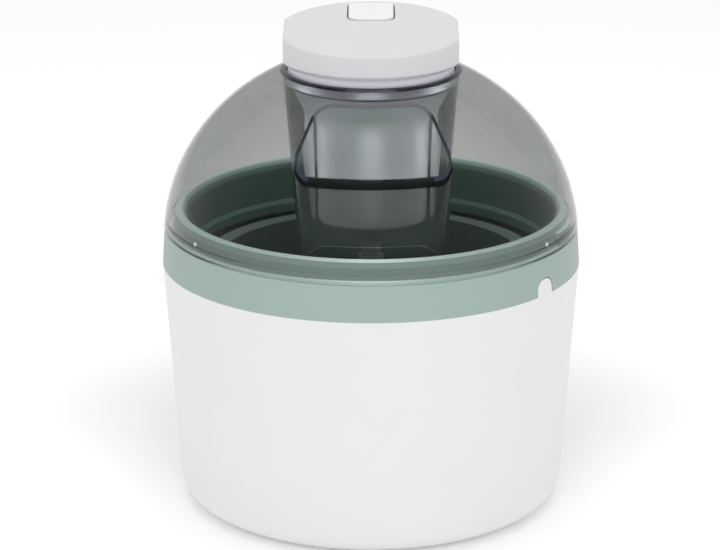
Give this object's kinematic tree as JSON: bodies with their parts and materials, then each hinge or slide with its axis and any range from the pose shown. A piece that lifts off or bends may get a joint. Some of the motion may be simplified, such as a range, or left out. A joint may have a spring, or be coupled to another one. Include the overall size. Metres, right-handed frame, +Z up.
{
  "type": "ice cream maker",
  "caption": "Countertop ice cream maker: tapered housing, lift-out freezing bowl, clear domed lid with feed opening, geared motor unit on top.",
  "frame": {"origin": "centre of the footprint on the surface it stands on", "axes": "+Z up, the feed opening faces -Y, the power switch is towards +Y"},
  "size_m": [0.21, 0.21, 0.247],
  "materials": {
    "white_shell": "satin white moulding",
    "white_cap": "satin white moulding",
    "white_key": "smooth white key",
    "sage_plastic": "satin sage green",
    "smoked_clear": "clear smoke-grey moulding",
    "rubber": "matt",
    "grey_plastic": "matt",
    "dark_plastic": "matt",
    "bowl_plastic": "matt",
    "liner_metal": "spun, hard anodised",
    "coolant": "gel",
    "steel": "bright",
    "paddle_plastic": "matt",
    "shaft_plastic": "matt",
    "gear_plastic": "natural acetal",
    "bronze": "sintered",
    "magnet_dark": "ferrite",
    "can_metal": "zinc plated",
    "coil_tape": "taped winding",
    "wire_sleeve": "soft sleeve"
  },
  "bodies": {
    "base": {"outer_housing": "white_shell", "rubber_feet": "rubber", "bowl_seat": "grey_plastic", "seat_pads": "rubber", "seat_screws": "steel"},
    "bowl": {"bowl_shell": "bowl_plastic", "bowl_plug": "rubber", "bowl_liner": "liner_metal", "rim_seal": "rubber", "coolant_fill": "coolant", "bowl_pivot": "steel"},
    "paddle": {"paddle_hub": "paddle_plastic", "paddle_frame": "paddle_plastic"},
    "collar": {"collar_ring": "sage_plastic"},
    "lid": {"lid_dome": "smoked_clear", "chimney_tube": "smoked_clear", "feed_chute": "smoked_clear"},
    "motor_unit": {"motor_housing": "white_cap", "cap_shell": "white_cap", "cord_gland": "rubber", "switch_pin": "steel", "switch_module": "dark_plastic", "cap_screws": "steel", "output_bush": "bronze", "layshaft_pin": "steel", "gear_plate": "steel", "plate_screws": "steel", "motor_can": "can_metal", "motor_coil": "coil_tape", "motor_bearing": "bronze", "motor_screws": "steel", "terminal_block": "grey_plastic", "wires": "wire_sleeve"},
    "rocker": {"power_switch": "white_key"},
    "output": {"output_shaft": "shaft_plastic", "output_gear": "gear_plastic", "drive_coupling": "dark_plastic"},
    "layshaft": {"layshaft_gear": "gear_plastic"},
    "rotor": {"rotor_shaft": "magnet_dark", "motor_pinion": "bronze"}
  },
  "joints": [
    {"name": "bowl_lift", "type": "slide", "parent": "base", "child": "bowl", "axis": [0, 0, 1], "range_m": [0, 0.25]},
    {"name": "paddle_spin", "type": "hinge", "parent": "bowl", "child": "paddle", "pos_m": [0, 0, 0.038], "axis": [0, 0, 1], "continuous": true},
    {"name": "collar_lift", "type": "slide", "parent": "bowl", "child": "collar", "axis": [0, 0, 1], "range_m": [0, 0.15]},
    {"name": "lid_lift", "type": "slide", "parent": "collar", "child": "lid", "axis": [0, 0, 1], "range_m": [0, 0.2]},
    {"name": "motor_lift", "type": "slide", "parent": "lid", "child": "motor_unit", "axis": [0, 0, 1], "range_m": [0, 0.15]},
    {"name": "switch_rock", "type": "hinge", "parent": "motor_unit", "child": "rocker", "pos_m": [0, 0.02565, 0.24184], "axis": [1, 0, 0], "range_deg": [0, 8]},
    {"name": "output_spin", "type": "hinge", "parent": "motor_unit", "child": "output", "pos_m": [0, 0, 0.15], "axis": [0, 0, 1], "continuous": true},
    {"name": "layshaft_spin", "type": "hinge", "parent": "motor_unit", "child": "layshaft", "pos_m": [0.0192, 0, 0.165], "axis": [0, 0, 1], "continuous": true},
    {"name": "rotor_spin", "type": "hinge", "parent": "motor_unit", "child": "rotor", "pos_m": [0.004, 0, 0.175], "axis": [0, 0, 1], "continuous": true}
  ],
  "couplings": [
    {"joint": "output_spin", "follows": "paddle_spin", "ratio": 1},
    {"joint": "layshaft_spin", "follows": "paddle_spin", "ratio": -3},
    {"joint": "rotor_spin", "follows": "paddle_spin", "ratio": 6.5}
  ]
}
